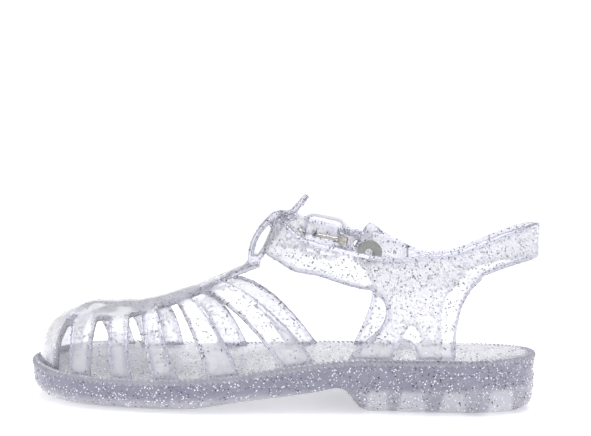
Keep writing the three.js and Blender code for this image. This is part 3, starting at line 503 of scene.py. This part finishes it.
SHADES = (
    (0.05, "#9998AA"),
    (0.35, "#B3B2BD"),
    (0.55, "#CCCBD3"),
    (0.8, "#E6E6EB"),
    (1.0, "#FBFBFC"),
)
CORD_SHADE = 0.45
sole.data.materials.append(deep_pvc("clear_pvc_moulded_deep", SHADES, 0.3, 0.14, 1.4, 0.3))
cord_tone = cord_mesh.attributes.new("tone", "FLOAT", "POINT")
cord_tone.data.foreach_set("value", np.full(len(cord_mesh.vertices), CORD_SHADE, np.float32))
cord_mesh.materials.append(deep_pvc("clear_pvc_rope_bead", SHADES, 0.35, 0.1, 2.5, 0.04))

# %% [markdown]
# ## Silvered film, painted glint and shade
# The flakes are not mirrors: against the bright ground a flake in the thin upper is painted as a dark
# speck of shade, in the deep sole mostly as a white glint. The number kept with each flake picks one of the
# two.

# %% Glitter material
GLITTERS = (
    (upper_glitter, "silver_glitter_in_upper", 0.88),
    (sole_glitter, "silver_glitter_in_sole", 0.3),
)
for piece, name, painted_shade_share in GLITTERS:
    flake, tree, shader, out = material(name)
    lot = add(tree, "ShaderNodeAttribute", {"attribute_name": "lot"}).outputs["Fac"]
    ramp = add(tree, "ShaderNodeValToRGB", Fac=lot)
    # Painted shade at the dark end of the ramp, painted glint at the white end.
    ramp.color_ramp.interpolation = "CONSTANT"
    ramp.color_ramp.elements[0].color = ink("#121217")
    ramp.color_ramp.elements[1].position = painted_shade_share
    ramp.color_ramp.elements[1].color = ink("#F6F6FA")
    tree.links.new(ramp.outputs[0], shader.inputs["Base Color"])
    shader.inputs["Roughness"].default_value = 0.5
    piece.data.materials.append(flake)

# %% [markdown]
# ## White plastic, zinc and nickel
# The frame is glossy white plastic. The eyelet is dull zinc plate with a fine tumbled grain, and the pin
# has a warmer nickel plate, brighter and smoother. In each metal a noise at the size of the grain moves
# the roughness and lifts the surface by a few hundredths of a millimetre.

# %% Plastic and metal of the buckle
def finish(piece, name, dark, bright, metal, rough, grain_mm, lift_mm):
    made, tree, shader, out = material(name)
    where = add(tree, "ShaderNodeTexCoord").outputs["Object"]
    grain = add(tree, "ShaderNodeTexNoise", Vector=where, Scale=1 / (grain_mm * MM), Detail=3.0).outputs["Fac"]
    ramp = add(tree, "ShaderNodeValToRGB", Fac=grain)
    ramp.color_ramp.elements[0].position, ramp.color_ramp.elements[0].color = 0.3, ink(dark)
    ramp.color_ramp.elements[1].position, ramp.color_ramp.elements[1].color = 0.7, ink(bright)
    spread = add(tree, "ShaderNodeMapRange", Value=grain, From_Min=0.3, From_Max=0.7)
    spread.inputs["To Min"].default_value, spread.inputs["To Max"].default_value = rough
    lift = add(tree, "ShaderNodeBump", Height=grain, Strength=1.0, Distance=lift_mm * MM)
    tree.links.new(ramp.outputs[0], shader.inputs["Base Color"])
    tree.links.new(spread.outputs[0], shader.inputs["Roughness"])
    tree.links.new(lift.outputs[0], shader.inputs["Normal"])
    shader.inputs["Metallic"].default_value = metal
    piece.data.materials.append(made)


finish(buckle, "white_plastic_moulded_glossy", "#F1F1F3", "#FAFAFB", 0.0, (0.2, 0.3), 2.0, 0.02)
finish(eyelet, "zinc_plated_steel_tumbled", "#8C8E8A", "#B2B4AE", 1.0, (0.36, 0.5), 0.5, 0.02)
finish(prong, "nickel_plated_brass_pin", "#A9A39A", "#D2CDC4", 1.0, (0.14, 0.24), 0.8, 0.01)


# %% [markdown]
# ## Floor and light
# A white sweep that is lit until it has no tone of its own, as in a shop's product picture: the paper
# glows a little itself, so the shadow under the sole stays a light, soft grey. Above the horizon the
# world is white too, except a lavender grey ring high up, which the bent edges of the clear straps pick
# up as soft dark lines. One large softbox overhead gives the gloss its highlights.

# %% Floor and light
FLOOR_HALF = 25.0
plane = bmesh.new()
bmesh.ops.create_grid(plane, x_segments=1, y_segments=1, size=FLOOR_HALF)
floor_mesh = bpy.data.meshes.new("studio_floor")
plane.to_mesh(floor_mesh)
plane.free()
floor = bpy.data.objects.new("studio_floor", floor_mesh)
floor.location.z = -0.05 * MM
scene.collection.objects.link(floor)
paper, tree, shader, out = material("white_paper_sweep")
shader.inputs["Base Color"].default_value = ink("#F6F6F7")
shader.inputs["Roughness"].default_value = 0.9
shader.inputs["Emission Color"].default_value = ink("#FFFFFF")
shader.inputs["Emission Strength"].default_value = 0.38
floor_mesh.materials.append(paper)

world = bpy.data.worlds.new("white_studio")
scene.world = world
world.use_nodes = True
tree = world.node_tree
tree.nodes.clear()
direction = add(tree, "ShaderNodeTexCoord").outputs["Generated"]
height = add(tree, "ShaderNodeSeparateXYZ", Vector=direction).outputs["Z"]
sky = add(tree, "ShaderNodeValToRGB", Fac=height)
stops = sky.color_ramp
stops.elements[0].position, stops.elements[0].color = 0.0, ink("#FFFFFF")
stops.elements[1].position, stops.elements[1].color = 0.3, ink("#FFFFFF")
for position, shade in ((0.45, "#A6A6BC"), (0.75, "#A6A6BC"), (0.9, "#FFFFFF")):
    stops.elements.new(position).color = ink(shade)
glow = add(tree, "ShaderNodeBackground", Color=sky.outputs[0], Strength=1.03)
add(tree, "ShaderNodeOutputWorld", Surface=glow.outputs[0])


def softbox(name, at, towards, width, depth, watts):
    lamp = bpy.data.lights.new(name, "AREA")
    lamp.shape, lamp.size, lamp.size_y, lamp.energy = "RECTANGLE", width, depth, watts
    holder = bpy.data.objects.new(name, lamp)
    holder.location = Vector(at)
    holder.rotation_euler = (Vector(towards) - Vector(at)).to_track_quat("-Z", "Y").to_euler()
    scene.collection.objects.link(holder)


softbox("overhead_softbox", (0.0, 0.2, 0.9), (-0.03, 0, 0.02), 0.9, 0.7, 7)
scene.view_settings.view_transform = "Standard"
scene.cycles.use_denoising = True
scene.cycles.max_bounces = 40
scene.cycles.transmission_bounces = 36
scene.cycles.sample_clamp_indirect = 6

# %% Finish
bpy.context.view_layer.update()
